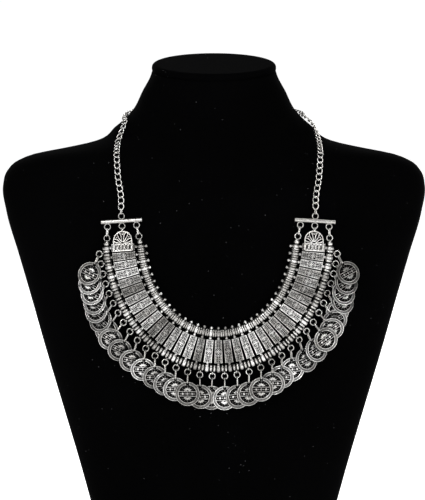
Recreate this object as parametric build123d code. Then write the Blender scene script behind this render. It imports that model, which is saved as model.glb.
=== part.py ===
from build123d import *
import math
import os
from collections import namedtuple

import numpy as np

os.makedirs("parts", exist_ok=True)

# Coin bib necklace on a plain velvet neck bust, in millimetres. The bust stands on z = 0 with its
# front towards -Y, and the necklace lies on its chest.

# Bust
bust_height = 349.0
shoulder_half_width = 159.7
chest_depth = 62.0
back_depth = 42.0
cap_thickness = 6.6
cap_overhang = 0.6
cap_tilt = 10.4
cap_height = 346.7

# Bib: where its inner string is lowest, and how it fans out
bib_x = 3.3
bib_z = 152.2
string_height = 3.4
thread_radius = 0.4
bead_bore_radius = 0.9
bead_gap = 0.12
string_slack = 0.15
plate_count = 35
fan_angle = 171.0
corner_bulge = 8.5

# Plates
plate_reach = 26.4
plate_thickness = 1.4
plate_inner_width = 5.35
plate_outer_width = 6.45
plate_inner_ring_radius = 2.6
plate_outer_ring_radius = 2.9
plate_inner_ring_length = 2.45
plate_outer_ring_length = 2.55
plate_ball_radius = 1.1
plate_ball_offset = 3.9
plate_stalk_radius = 0.6
plate_foot = 4.9
plate_shoulder_gap = 1.2
plate_roll = 2.0
relief_height = 0.3
relief_line = 0.5
scroll_rows = 4

# Beads
roundel_radius = 3.0
roundel_length = 2.75
roundel_flange_length = 1.25
flange_radius = 2.7
flange_length = 1.6
bail_bead_length = 4.2
hub_radius = 1.6
bail_radius = 1.5
end_bead_radius = 2.1

# Rings and links
wire_radius = 0.4
ring_radius = 2.2
long_link_half_length = 3.7
long_link_half_width = 2.0
strand_link_half_width = 1.6
filigree_ring_radius = 1.75
ring_slack = 0.15
solder_depth = 0.5

# Coins
coin_radius = 9.0
coin_thickness = 1.0
coin_hole_radius = 1.1
coin_hole_edge = 1.6
coin_clearance = 0.2
hole_clearance = 0.05
chest_clearance = 0.3
coin_rim_width = 0.5
coin_lean = 22.0
coin_sway = 2.0
side_hang_angle = 36.0
end_hang_cut = 0.36
link_lag = 30.0
lowest_swing = -14.0
highest_swing = 60.0
coin_peaks = (15, 21, 27)
coin_valleys = (7, 17, 24, 30)

# Bars and end pieces
bar_length = 31.0
bar_radius = 1.5
bar_loop_spacing = 11.0
bar_rise = 19.6
bar_height = 2.9
filigree_width = 14.8
filigree_length = 15.5
filigree_thickness = 0.8
filigree_foot_height = 6.2
filigree_line = 0.9

# Chain and clasp
chain_radius = 2.2
chain_height = 4.5
chain_start_gap = 0.3
neck_chain_rise = 6.0
neck_chain_points = 10
clasp_length = 13.0
clasp_width = 6.0
clasp_thickness = 3.2

# Each row is a level section of the bust, as shares of its height, half width, front and back depth
Section = namedtuple("Section", "height width front back")
bust_sections = [
    Section(0.000, 0.560, 0.80, 0.98),
    Section(0.136, 0.641, 0.88, 1.00),
    Section(0.272, 0.728, 0.95, 1.00),
    Section(0.400, 0.810, 0.99, 1.00),
    Section(0.489, 0.864, 1.00, 1.00),
    Section(0.590, 0.927, 1.00, 1.00),
    Section(0.683, 0.985, 0.97, 0.99),
    Section(0.740, 1.000, 0.92, 0.97),
    Section(0.772, 0.978, 0.87, 0.95),
    Section(0.793, 0.929, 0.83, 0.94),
    Section(0.809, 0.836, 0.79, 0.94),
    Section(0.819, 0.722, 0.76, 0.94),
    Section(0.833, 0.579, 0.72, 0.94),
    Section(0.867, 0.465, 0.65, 0.95),
    Section(0.898, 0.392, 0.60, 0.97),
    Section(0.946, 0.335, 0.57, 1.00),
    Section(0.976, 0.300, 0.56, 1.02),
    Section(1.050, 0.294, 0.56, 1.05),
]

# The left chain's way up the chest, from above the bar to the side of the neck, as x and z
chain_route = [(-68.9, 252.0), (-71.2, 267.0), (-72.3, 281.0), (-71.3, 294.5), (-67.4, 305.0)]

coin_count = plate_count - 1
half_count = (plate_count - 1) // 2
roundel_pitch = plate_inner_ring_length + roundel_length + 2 * bead_gap
bail_pitch = plate_outer_ring_length + bail_bead_length + 2 * bead_gap
plate_head = plate_reach - plate_outer_ring_radius - plate_shoulder_gap
bail_offset = hub_radius + bail_radius
loop_offset = ring_radius + wire_radius - solder_depth
link_overlap = 2 * wire_radius + ring_slack
coin_hole_offset = coin_radius - coin_hole_edge


# Vectors and placing

def unit(vector):
    return vector / np.linalg.norm(vector)


def turn_about(angle, across, forward):
    """across turned towards forward by an angle in radians."""
    return math.cos(angle) * across + math.sin(angle) * forward


def smooth_step(value, low, high):
    share = min(max((value - low) / (high - low), 0.0), 1.0)
    return share * share * (3 - 2 * share)


def place(shape, origin, x_dir, z_dir):
    """A copy of a shape with its own X and Z axes laid along two directions."""
    return shape.moved(Plane(origin=tuple(origin), x_dir=tuple(x_dir), z_dir=tuple(z_dir)).location)


# The bust's surface

def smooth_column(column, shares):
    """One column of the bust's table as a smooth curve over shares of the height."""
    heights = np.array([row.height for row in bust_sections])
    values = np.array([getattr(row, column) for row in bust_sections])
    slopes = np.gradient(values, heights)
    index = np.clip(np.searchsorted(heights, shares) - 1, 0, len(heights) - 2)
    span = heights[index + 1] - heights[index]
    t = (shares - heights[index]) / span
    from_below = (2 * t**3 - 3 * t**2 + 1) * values[index] + (t**3 - 2 * t**2 + t) * span * slopes[index]
    from_above = (3 * t**2 - 2 * t**3) * values[index + 1] + (t**3 - t**2) * span * slopes[index + 1]
    return from_below + from_above


fine_shares = np.linspace(0, bust_sections[-1].height, 421)
fine_heights = fine_shares * bust_height
fine_half_widths = shoulder_half_width * smooth_column("width", fine_shares)
fine_fronts = chest_depth * smooth_column("front", fine_shares)
fine_backs = back_depth * smooth_column("back", fine_shares)


def half_width(z):
    return np.interp(z, fine_heights, fine_half_widths)


def front_depth(z):
    return np.interp(z, fine_heights, fine_fronts)


def back_reach(z):
    return np.interp(z, fine_heights, fine_backs)


def chest_y(x, z):
    """y of the bust's front surface."""
    across = np.minimum(np.abs(x) / half_width(z), 0.995)
    return -front_depth(z) * np.sqrt(1 - across**2)


def chest_slopes(x, z):
    """How fast the front surface's y grows along x and along z."""
    step = 1.0
    along_x = (chest_y(x + step, z) - chest_y(x - step, z)) / (2 * step)
    along_z = (chest_y(x, z + step) - chest_y(x, z - step)) / (2 * step)
    return along_x, along_z


def chest_normal(point):
    along_x, along_z = chest_slopes(point[0], point[2])
    return unit(np.array([along_x, -1.0, along_z]))


def on_chest(x, z, height):
    """The point in front of x, z that stands a height off the chest."""
    along_x, along_z = chest_slopes(x, z)
    return np.array([x, chest_y(x, z) - height * math.sqrt(1 + along_x**2 + along_z**2), z])


def step_on_chest(start, across, up, distance, height):
    """The point at a true distance from start, in the direction across, up as seen from the front."""
    reach = distance
    for _ in range(8):
        point = on_chest(start[0] + reach * across, start[2] + reach * up, height)
        reach *= distance / np.linalg.norm(point - start)
    return point


def heights_over_chest(points):
    """How far each point is off the chest, along the chest's slope there."""
    along_x, along_z = chest_slopes(points[:, 0], points[:, 2])
    return (chest_y(points[:, 0], points[:, 2]) - points[:, 1]) / np.sqrt(1 + along_x**2 + along_z**2)


def section_wire(z):
    """A level section: half an ellipse in front and another one behind."""
    width = float(half_width(z))
    front = EllipticalCenterArc((0, 0), width, float(front_depth(z)), start_angle=180, arc_size=180)
    back = EllipticalCenterArc((0, 0), width, float(back_reach(z)), start_angle=0, arc_size=180)
    return Pos(0, 0, z) * Wire([front, back])


def make_bust():
    shares = [row.height for row in bust_sections]
    between = [(low + high) / 2 for low, high in zip(shares, shares[1:])]
    body = Solid.make_loft([section_wire(share * bust_height) for share in sorted(shares + between)])
    front, back = float(front_depth(cap_height)), float(back_reach(cap_height))
    cap_place = Pos(0, (back - front) / 2, cap_height) * Rot(cap_tilt, 0, 0)
    body -= cap_place * Pos(0, 0, shoulder_half_width) * Box(*[2 * shoulder_half_width] * 3)
    cap_outline = Ellipse(float(half_width(cap_height)) + cap_overhang, (back + front) / 2 + cap_overhang)
    cap = extrude(cap_outline, cap_thickness / 2, both=True)
    return body + cap_place * fillet(cap.edges(), 0.45 * cap_thickness)


# Bib layout: plate k has its inner ring at inner_points[k] and its outer ring at outer_points[k]

def plate_angle(index):
    """Turn of a plate from straight down. The bib turns faster at its bottom than at its sides."""
    share = (index - half_count) / half_count
    return math.radians(fan_angle / 2 * share + corner_bulge * math.sin(math.pi * share))


def lay_inner_points():
    """Inner rings, stepped out to both sides from the middle plate."""
    points = {half_count: on_chest(bib_x, bib_z, string_height)}
    for side in (-1, 1):
        for count in range(1, half_count + 1):
            index = half_count + side * count
            turn = (plate_angle(index) + plate_angle(index - side)) / 2
            across, up = side * math.cos(turn), side * math.sin(turn)
            pitch = roundel_pitch + string_slack
            points[index] = step_on_chest(points[index - side], across, up, pitch, string_height)
    return [points[index] for index in range(plate_count)]


def lay_outer_points():
    """Outer rings, a plate's reach outwards from the inner ones."""
    points = []
    for index, inner in enumerate(inner_points):
        turn = plate_angle(index)
        points.append(step_on_chest(inner, math.sin(turn), -math.cos(turn), plate_reach, string_height))
    return points


inner_points = lay_inner_points()
outer_points = lay_outer_points()


def least_pitch(points):
    return min(np.linalg.norm(after - before) for before, after in zip(points, points[1:]))


# Beads and rings lie along X, pierced for the thread

def thread_bore():
    return Rot(0, 90, 0) * Cylinder(bead_bore_radius, 2 * plate_reach)


def barrel(radius, length):
    """A short barrel along X with rounded edges."""
    body = Rot(0, 90, 0) * Cylinder(radius, length)
    return fillet(body.edges(), min(0.3 * radius, 0.42 * length))


def double_flange(radius, length, wheel_length):
    """Two rounded flanges on one hub."""
    spread = (length - wheel_length) / 2
    bead = Rot(0, 90, 0) * Cylinder(hub_radius, length - wheel_length)
    for side in (-1, 1):
        bead += Pos(side * spread, 0, 0) * barrel(radius, wheel_length)
    return bead


def make_roundel():
    return double_flange(roundel_radius, roundel_length, roundel_flange_length) - thread_bore()


def make_bail_bead():
    """A double flange with a soldered bail between its wheels towards -Y."""
    bead = double_flange(flange_radius, bail_bead_length, flange_length)
    bead += Pos(0, -bail_offset, 0) * Rot(0, 90, 0) * Torus(bail_radius, wire_radius)
    return bead - thread_bore()


# A plate has its inner ring at the origin, points along +Y and has its relief towards +Z

def plate_width(y):
    share = (y - plate_foot) / (plate_head - plate_foot)
    return plate_inner_width + share * (plate_outer_width - plate_inner_width)


def plate_outline(inset):
    low, high = plate_foot + inset, plate_head - inset
    corners = [
        (-plate_width(low) / 2 + inset, low),
        (plate_width(low) / 2 - inset, low),
        (plate_width(high) / 2 - inset, high),
        (-plate_width(high) / 2 + inset, high),
    ]
    return make_face(Polyline(*corners, close=True))


def plate_scrolls():
    """Rows of mirrored scrolls along a stem, inside a raised border."""
    pattern = plate_outline(0) - plate_outline(relief_line)
    row_step = (plate_head - plate_foot - 2 * relief_line) / scroll_rows
    pattern += Pos(0, (plate_foot + plate_head) / 2) * Rectangle(0.7 * relief_line, plate_head - plate_foot)
    for row in range(scroll_rows):
        y = plate_foot + relief_line + (row + 0.5) * row_step
        scroll_x = 0.26 * plate_width(y)
        for side in (-1, 1):
            sweep_angle = side * (1 if row % 2 else -1) * 280
            scroll = CenterArc((side * scroll_x, y), 0.29 * row_step, 90 + side * 90, sweep_angle)
            pattern += SlotArc(scroll, 0.9 * relief_line)
            pattern += Pos(side * scroll_x, y) * Circle(0.55 * relief_line)
        if row:
            pattern += Pos(0, y - row_step / 2) * Circle(1.1 * relief_line)
    return pattern


def make_plate():
    body = extrude(plate_outline(0), plate_thickness / 2, both=True)
    body += Pos(0, 0, plate_thickness / 2) * extrude(plate_scrolls(), relief_height)
    neck_length = plate_reach - plate_head
    neck = Box(1.6 * plate_ball_radius, neck_length, plate_thickness)
    body += Pos(0, plate_reach - neck_length / 2, 0) * neck
    for side in (-1, 1):
        body += Pos(0, side * plate_ball_offset, 0) * Sphere(plate_ball_radius)
    stalk_low, stalk_high = -plate_ball_offset, plate_foot + plate_ball_radius
    stalk = Rot(90, 0, 0) * Cylinder(plate_stalk_radius, stalk_high - stalk_low)
    body += Pos(0, (stalk_low + stalk_high) / 2, 0) * stalk
    body += barrel(plate_inner_ring_radius, plate_inner_ring_length)
    body += Pos(0, plate_reach, 0) * barrel(plate_outer_ring_radius, plate_outer_ring_length)
    return body - thread_bore() - Pos(0, plate_reach, 0) * thread_bore()


def place_plate(plate, index):
    """A plate between its two strings, rolled a few degrees about its own length."""
    along = unit(outer_points[index] - inner_points[index])
    normal = chest_normal((outer_points[index] + inner_points[index]) / 2)
    across = unit(np.cross(along, normal))
    forward = np.cross(across, along)
    roll = math.radians(plate_roll) * math.sin(2.4 * index)
    rolled = turn_about(roll, across, forward)
    return place(plate, inner_points[index], rolled, np.cross(rolled, along))


def place_bead(bead, points, index):
    """A bead on the thread between point index and the next one."""
    along = unit(points[index + 1] - points[index])
    centre = (points[index + 1] + points[index]) / 2
    normal = chest_normal(centre)
    return place(bead, centre, along, unit(normal - along * along.dot(normal)))


# A coin has its hole towards +Y and its face towards +Z

def coin_relief():
    """Two rims, an inner ring, a middle band with lozenges, and a fan of leaves on each side of it."""
    width = coin_rim_width
    field_radius = 0.68 * coin_radius
    band = 0.16 * coin_radius
    pattern = Circle(coin_radius) - Circle(coin_radius - width)
    pattern += Circle(coin_radius - 1.9 * width) - Circle(coin_radius - 2.6 * width)
    pattern += Circle(field_radius) - Circle(field_radius - width)
    field = Circle(field_radius - 0.5 * width)
    leaf_reach = 0.40 * field_radius
    for side in (-1, 1):
        pattern += field & (Pos(0, side * band) * Rectangle(2 * field_radius, 0.7 * width))
        for turn in (-60, -20, 20, 60):
            leaf = Pos(0, 0.62 * leaf_reach) * Ellipse(0.11 * field_radius, 0.5 * leaf_reach)
            pattern += Pos(0, side * (band + width)) * Rot(0, 0, turn + (0 if side > 0 else 180)) * leaf
    for share in (-0.56, 0.0, 0.56):
        pattern += Pos(share * field_radius, 0) * Rot(0, 0, 45) * Rectangle(band, band)
    return pattern


def make_coin():
    flan = coin_thickness - relief_height
    coin = Pos(0, 0, -relief_height / 2) * Cylinder(coin_radius, flan)
    coin += Pos(0, 0, flan / 2 - relief_height / 2) * extrude(coin_relief(), relief_height)
    return coin - Pos(0, coin_hole_offset, 0) * Cylinder(coin_hole_radius, 2 * coin_thickness)


# Coins lie in a pile along the outer string, each one laid on what is already there

hanging_places = "ring_centre ring_axis link_centre link_down link_axis coin_centre coin_right coin_face"
Hanging = namedtuple("Hanging", hanging_places)


def rises_right(number):
    """Whether a coin lies on its right neighbour, and so has its right side raised."""
    last_peak = max([peak for peak in coin_peaks if peak <= number], default=0)
    last_valley = max([valley for valley in coin_valleys if valley < number], default=-1)
    return last_peak > last_valley


def pile_level(number):
    """How many coins a coin lies above the valley at the foot of its own slope."""
    if rises_right(number):
        return min(valley for valley in coin_valleys if valley >= number) - number
    return number - max(valley for valley in coin_valleys if valley <= number)


def hang_angle(number):
    """How far a coin hangs out from straight down as seen from the front, in radians."""
    steepness = abs(plate_angle(number - 0.5))
    share = smooth_step(steepness, math.radians(35), math.radians(58))
    share *= 1 - end_hang_cut * smooth_step(steepness, math.radians(62), math.radians(80))
    side = math.copysign(1, plate_angle(number - 0.5))
    return math.radians(side * side_hang_angle * share + coin_sway * math.sin(2.1 * number))


def coin_tilt(number, spacing):
    """Tilt along the string, in radians, that makes room for the next coin and its link."""
    if number in coin_peaks or number in coin_valleys:
        return 0.0
    flat_room = coin_thickness + coin_clearance
    link_room = coin_thickness / 2 + coin_clearance + long_link_half_width + wire_radius
    share = smooth_step(abs(plate_angle(number - 0.5)), math.radians(12), math.radians(28))
    tilt = math.asin((flat_room + share * (link_room - flat_room)) / spacing)
    return tilt if rises_right(number) else -tilt


def coin_attitude(number, run, normal, down):
    """A coin's turn about its hanging line, its way down and its face, for the run between two rings."""
    aside = np.cross(normal, down)
    tilt = coin_tilt(number, float(np.linalg.norm(run)))
    string = unit(run - normal * run.dot(normal))
    largest = math.radians(coin_lean)
    lean = min(max(tilt * string.dot(down), -largest), largest)
    left_over = abs(math.sin(tilt)) - abs(math.sin(lean) * string.dot(down))
    turn = math.asin(min(max(left_over / max(abs(string.dot(aside)), 0.2), 0.0), 0.8))
    turn = math.copysign(turn, tilt)
    face = unit(normal - aside * math.tan(turn) - down * math.tan(lean))
    return turn, unit(down - face * down.dot(face)), face


def drop_in_hole(wire, face):
    """How far the hole's centre is below the wire's, with room for the wire's slant through the coin."""
    slant = math.acos(min(abs(wire.dot(face)), 1.0))
    room = coin_hole_radius - wire_radius / math.cos(slant) - coin_thickness / 2 * math.tan(slant)
    return min(max(room - hole_clearance, 0.0), 0.6 * (coin_hole_radius - wire_radius))


def hang_coin(number, swing):
    """Ring, link and coin hung from bead number's bail, swung forward by an angle in radians."""
    left, right = outer_points[number - 1], outer_points[number]
    bead = (left + right) / 2
    along = unit(right - left)
    normal = chest_normal(bead)
    outward = unit(np.cross(along, normal))
    hang = hang_angle(number)
    down = np.array([math.sin(hang), 0.0, -math.cos(hang)])
    down = unit(down - normal * down.dot(normal))
    turn, coin_down, coin_face = coin_attitude(number, right - left, normal, down)
    ring_down = turn_about(swing, outward, normal)
    ring_centre = bead + (bail_offset + bail_radius - link_overlap) * outward + ring_radius * ring_down
    ring_axis = unit(np.cross(along, ring_down))
    aside = np.cross(normal, down)
    link_down = turn_about(swing, down, normal)
    link_turn = math.copysign(max(abs(turn) - math.radians(link_lag), 0.0), turn)
    link_axis = turn_about(link_turn, aside, np.cross(link_down, aside))
    link_centre = ring_centre + link_down * (ring_radius + long_link_half_length - link_overlap)
    wire_place = link_centre + link_down * long_link_half_length
    drop = drop_in_hole(np.cross(link_axis, link_down), coin_face)
    coin_centre = wire_place + coin_down * (drop + coin_hole_offset)
    coin_right = np.cross(coin_face, coin_down)
    return Hanging(
        ring_centre, ring_axis, link_centre, link_down, link_axis, coin_centre, coin_right, coin_face
    )


def circle_points(centre, axis, radius, count):
    first = unit(np.cross(axis, [0.3, 0.2, 1.0]))
    second = np.cross(axis, first)
    angles = np.linspace(0, 2 * math.pi, count, endpoint=False)
    return centre + radius * (np.outer(np.cos(angles), first) + np.outer(np.sin(angles), second))


def coin_points(hanging):
    """Points all over both faces of a coin."""
    points = []
    for side in (-0.5, 0.5):
        face_centre = hanging.coin_centre + side * coin_thickness * hanging.coin_face
        for share in (0.25, 0.5, 0.75, 1.0):
            points.append(circle_points(face_centre, hanging.coin_face, share * coin_radius, 32))
    return np.concatenate(points)


def ring_points(hanging):
    """Points along the wires of a coin's ring and link."""
    points = [circle_points(hanging.ring_centre, hanging.ring_axis, ring_radius, 20)]
    for share in (-1, 0, 1):
        shift = share * (long_link_half_length - long_link_half_width) * hanging.link_down
        centre = hanging.link_centre + shift
        points.append(circle_points(centre, hanging.link_axis, long_link_half_width, 16))
    return np.concatenate(points)


def gap_to_face(points, hanging, side, room):
    """Least gap from a coin's front (side 1) or back (side -1) to the points that lie over it."""
    offsets = points - hanging.coin_centre
    depths = offsets @ hanging.coin_face
    distances = np.linalg.norm(offsets - np.outer(depths, hanging.coin_face), axis=1)
    over = distances < coin_radius + room
    return (side * depths[over]).min() - coin_thickness / 2 if over.any() else room


def lies_clear(upper, lowers):
    """Whether a coin and its rings clear the bust and lie in front of the coins below."""
    coin, rings = coin_points(upper), ring_points(upper)
    wire_room = wire_radius + coin_clearance
    clear = heights_over_chest(coin).min() >= chest_clearance
    clear = clear and heights_over_chest(rings).min() >= wire_radius + chest_clearance
    for lower in lowers:
        clear = clear and gap_to_face(coin, lower, 1, coin_clearance) >= coin_clearance
        clear = clear and gap_to_face(coin_points(lower), upper, -1, coin_clearance) >= coin_clearance
        clear = clear and gap_to_face(rings, lower, 1, wire_room) >= wire_room
        clear = clear and gap_to_face(ring_points(lower), upper, -1, wire_room) >= wire_room
    return clear


def pile_coins():
    """Hang each coin, valleys first, with the least swing that clears what lies below it."""
    laid = {}
    order = sorted(range(1, coin_count + 1), key=lambda number: (number in coin_peaks, pile_level(number)))
    for number in order:
        lowers = [laid[other] for other in laid if abs(other - number) <= 3]
        swing = lowest_swing
        while swing < highest_swing and not lies_clear(hang_coin(number, math.radians(swing)), lowers):
            swing += 0.5
        print("coin", number, "swing", swing)
        laid[number] = hang_coin(number, math.radians(swing))
    return laid


def oval_link(half_length, half_width):
    """An oval link of round wire, long in Y."""
    straight = half_length - half_width
    side = Pos(half_width, 0, 0) * Rot(90, 0, 0) * Cylinder(wire_radius, 2 * straight)
    below = Pos(0, -half_length, 0) * Box(4 * half_length, 2 * half_length, 4 * wire_radius)
    end = Pos(0, straight, 0) * (Torus(half_width, wire_radius) - below)
    return end + side + Rot(0, 0, 180) * side + Rot(0, 0, 180) * end


# Bars, end pieces and the rings that join them, for side -1 (left) and side 1 (right)

Mounting = namedtuple("Mounting", "centre right up normal")


def bar_mounting(side):
    """A bar's middle and axes, above the last plate on its side."""
    index = 0 if side < 0 else plate_count - 1
    inner, outer = inner_points[index], outer_points[index]
    base = (inner + outer) / 2
    normal = chest_normal(base)
    up = side * unit(np.cross(normal, outer - inner))
    centre = step_on_chest(base, up[0], up[2], bar_rise, bar_height)
    normal = chest_normal(centre)
    up = unit(up - normal * up.dot(normal))
    return Mounting(centre, np.cross(up, normal), up, normal)


def bar_loop(mounting, spaces, side_up):
    """Centre of a bar's loop, counted in loop spaces to the right, above (1) or below (-1) the bar."""
    rise = side_up * (bar_radius + loop_offset)
    return mounting.centre + spaces * bar_loop_spacing * mounting.right + rise * mounting.up


def soldered_loop():
    return Torus(ring_radius, wire_radius)


def make_bar():
    bar = Rot(0, 90, 0) * Cylinder(bar_radius, bar_length)
    bar = fillet(bar.edges(), 0.12 * bar_radius)
    bar += Pos(0, bar_radius + loop_offset, 0) * soldered_loop()
    for spaces in (-1, 0, 1):
        bar += Pos(spaces * bar_loop_spacing, -bar_radius - loop_offset, 0) * soldered_loop()
    return bar


def strand_axis(side, points, ring_length, spaces):
    """End bead centre, direction to the bar and bar loop of one strand's end."""
    start = points[0 if side < 0 else -1]
    loop = bar_loop(bar_mounting(side), spaces, -1)
    direction = unit(loop - start)
    bead = start + direction * (ring_length / 2 + bead_gap + end_bead_radius)
    return bead, direction, loop


def inner_strand(side):
    return strand_axis(side, inner_points, plate_inner_ring_length, -side)


def outer_strand(side):
    return strand_axis(side, outer_points, plate_outer_ring_length, side)


def make_end_bead():
    """A ball with a soldered loop towards +Y, drilled from below for the end of the thread."""
    bead = Sphere(end_bead_radius) + Pos(0, end_bead_radius + loop_offset, 0) * soldered_loop()
    drill = Cylinder(thread_radius + bead_gap, 2 * end_bead_radius)
    return bead - Pos(0, -end_bead_radius, 0) * Rot(90, 0, 0) * drill


def place_end_bead(bead, axis):
    centre, direction, _ = axis
    normal = chest_normal(centre)
    right = unit(np.cross(direction, normal))
    return place(bead, centre, right, np.cross(right, direction))


def strand_link(axis):
    """The oval link between an end bead's loop and the bar's loop."""
    centre, direction, loop = axis
    lower_wire = centre + direction * (end_bead_radius + loop_offset + ring_radius)
    upper_wire = loop - direction * ring_radius
    half_length = float(np.linalg.norm(upper_wire - lower_wire)) / 2 + link_overlap
    normal = chest_normal(loop)
    link_right = unit(normal - direction * direction.dot(normal))
    link = oval_link(half_length, strand_link_half_width)
    return place(link, (lower_wire + upper_wire) / 2, link_right, np.cross(link_right, direction))


def filigree_link_centre(mounting):
    return bar_loop(mounting, 0, -1) - mounting.up * (ring_radius - link_overlap + filigree_ring_radius)


def filigree_link(mounting):
    centre = filigree_link_centre(mounting)
    return place(Torus(filigree_ring_radius, wire_radius), centre, mounting.up, mounting.right)


def filigree_outline(inset):
    """An arch with its top hole's centre at the origin, hanging towards -Y."""
    radius = filigree_width / 2 - inset
    spring_y = coin_hole_edge - filigree_width / 2
    foot_y = coin_hole_edge - filigree_length + inset
    arch = Pos(0, spring_y) * Circle(radius)
    return arch + Pos(0, (spring_y + foot_y) / 2) * Rectangle(2 * radius, spring_y - foot_y)


def filigree_openings():
    """Gaps of the tracery: a fan of long gaps, a row of round ones and a pair of leaves."""
    spring_y = coin_hole_edge - filigree_width / 2
    foot_y = coin_hole_edge - filigree_length
    fan_radius = 0.70 * filigree_width / 2
    openings = None
    for turn in (-75, -50, -25, 25, 50, 75):
        gap = Pos(0, fan_radius) * SlotOverall(0.16 * filigree_width, 1.1, 90)
        gap = Pos(0, spring_y) * Rot(0, 0, turn) * gap
        openings = gap if openings is None else openings + gap
    for share in (-0.30, 0.0, 0.30):
        openings += Pos(share * filigree_width, spring_y + 0.4) * Circle(0.85)
    low_y = (spring_y + foot_y) / 2 - 0.6
    for share in (-0.36, -0.18, 0.0, 0.18, 0.36):
        openings += Pos(share * filigree_width, low_y) * Rot(0, 0, 90) * SlotOverall(3.2, 1.3)
    return openings


def make_filigree():
    plate = extrude(filigree_outline(0), filigree_thickness / 2, both=True)
    border = extrude(filigree_outline(0) - filigree_outline(filigree_line), relief_height)
    plate += Pos(0, 0, filigree_thickness / 2) * border
    plate -= extrude(filigree_openings(), filigree_thickness, both=True)
    return plate - Cylinder(coin_hole_radius, 4 * filigree_thickness)


def place_filigree(filigree, mounting):
    """The arch hangs on its link and lies over the first plates."""
    up = mounting.up
    wire = filigree_link_centre(mounting) - up * filigree_ring_radius
    hole = wire - up * 0.6 * (coin_hole_radius - wire_radius)
    foot = step_on_chest(hole, -up[0], -up[2], filigree_length - coin_hole_edge, filigree_foot_height)
    face = unit(np.cross(mounting.right, hole - foot))
    return place(filigree, hole, mounting.right, face)


def chain_ring_centre(mounting):
    return bar_loop(mounting, 0, 1) + mounting.up * (2 * ring_radius - link_overlap)


def chain_ring(mounting):
    return place(Torus(ring_radius, wire_radius), chain_ring_centre(mounting), mounting.up, mounting.right)


# Threads and chain, as round bars along runs joined by tangent arcs

def route_radii(points):
    """Radius of each corner: 0.45 of the shorter run over the tangent of half the turn."""
    radii = []
    for before, here, after in zip(points, points[1:], points[2:]):
        turn = (Vector(*here) - Vector(*before)).get_angle(Vector(*after) - Vector(*here))
        run = min(np.linalg.norm(here - before), np.linalg.norm(after - here))
        radii.append(float(0.45 * run / math.tan(math.radians(turn) / 2)))
    return radii


def tube(name, points, radius):
    radii = route_radii(points)
    path = FilletPolyline(*[tuple(point) for point in points], radius=radii)
    start = Plane(origin=path @ 0, z_dir=path % 0)
    body = sweep(start * Circle(radius), path=path)
    expected = math.pi * radius**2 * path.length
    print(name, "length", round(path.length, 1), "least arc", round(min(radii), 1))
    print(name, "volume", round(body.volume, 2), "section times length", round(expected, 2))
    return body


def strand_route(points, first, last):
    return [first] + list(points) + [last]


def neck_point(share, side):
    """A point on the chain's way round the back of the neck, from its side to beside the clasp."""
    level = chain_route[-1][1] + neck_chain_rise
    z = level + neck_chain_rise * share
    across, deep = float(half_width(z)) + chain_height, float(back_reach(z)) + chain_height
    last_angle = math.acos((clasp_length / 2 + chain_start_gap) / across)
    angle = share * last_angle
    return np.array([side * across * math.cos(angle), deep * math.sin(angle), z])


def chain_points(side):
    mounting = bar_mounting(side)
    start = chain_ring_centre(mounting) + mounting.up * (ring_radius + wire_radius + chain_start_gap)
    mirrored = 2 * bib_x
    chest = [on_chest(x if side < 0 else mirrored - x, z, chain_height) for x, z in chain_route]
    neck = [neck_point(count / neck_chain_points, side) for count in range(neck_chain_points + 1)]
    return [start] + chest + neck


def make_clasp():
    end = neck_point(1, 1)
    clasp = fillet(Box(clasp_length, clasp_thickness, clasp_width).edges(), 0.3 * clasp_thickness)
    return Pos(0, float(end[1]), float(end[2])) * clasp


def export(name, shapes):
    solids = [solid for shape in shapes for solid in shape.solids()]
    node = solids[0] if len(solids) == 1 else Compound(solids)
    node.label = name
    export_step(node, f"parts/{name}.step")


def build():
    print("inner pitch", round(least_pitch(inner_points), 2), "needs", round(roundel_pitch, 2))
    print("outer pitch", round(least_pitch(outer_points), 2), "needs", round(bail_pitch, 2))
    export("display_bust", [make_bust()])
    strands = [inner_strand(-1), inner_strand(1), outer_strand(-1), outer_strand(1)]
    inner_route = strand_route(inner_points, strands[0][0], strands[1][0])
    outer_route = strand_route(outer_points, strands[2][0], strands[3][0])
    export("inner_string", [tube("inner string", inner_route, thread_radius)])
    export("outer_string", [tube("outer string", outer_route, thread_radius)])
    roundel, bail_bead, plate, coin = make_roundel(), make_bail_bead(), make_plate(), make_coin()
    export("inner_beads", [place_bead(roundel, inner_points, index) for index in range(coin_count)])
    ring, long_link = Torus(ring_radius, wire_radius), oval_link(long_link_half_length, long_link_half_width)
    coins = pile_coins()
    halves = {"left": range(0, half_count), "right": range(half_count, coin_count)}
    for half, indexes in halves.items():
        export(f"outer_beads_{half}", [place_bead(bail_bead, outer_points, index) for index in indexes])
        rings = []
        for index in indexes:
            hanging = coins[index + 1]
            along = unit(outer_points[index + 1] - outer_points[index])
            rings.append(place(ring, hanging.ring_centre, along, hanging.ring_axis))
            link_right = np.cross(hanging.link_axis, hanging.link_down)
            rings.append(place(long_link, hanging.link_centre, link_right, hanging.link_axis))
        export(f"coin_rings_{half}", rings)
    export("plates_left", [place_plate(plate, index) for index in range(0, half_count + 1)])
    export("plates_right", [place_plate(plate, index) for index in range(half_count + 1, plate_count)])
    for number, hanging in coins.items():
        placed = place(coin, hanging.coin_centre, hanging.coin_right, hanging.coin_face)
        export(f"coin_{number:02d}", [placed])
    end_bead = make_end_bead()
    export("strand_ends", [place_end_bead(end_bead, axis) for axis in strands])
    links = [strand_link(axis) for axis in strands]
    bar, filigree = make_bar(), make_filigree()
    for side, name in ((-1, "left"), (1, "right")):
        mounting = bar_mounting(side)
        links += [filigree_link(mounting), chain_ring(mounting)]
        export(f"bar_{name}", [place(bar, mounting.centre, mounting.right, mounting.normal)])
        export(f"end_filigree_{name}", [place_filigree(filigree, mounting)])
        export(f"chain_{name}", [tube(f"{name} chain", chain_points(side), chain_radius)])
    export("link_rings", links)
    export("clasp", [make_clasp()])


build()
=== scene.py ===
import math

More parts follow.
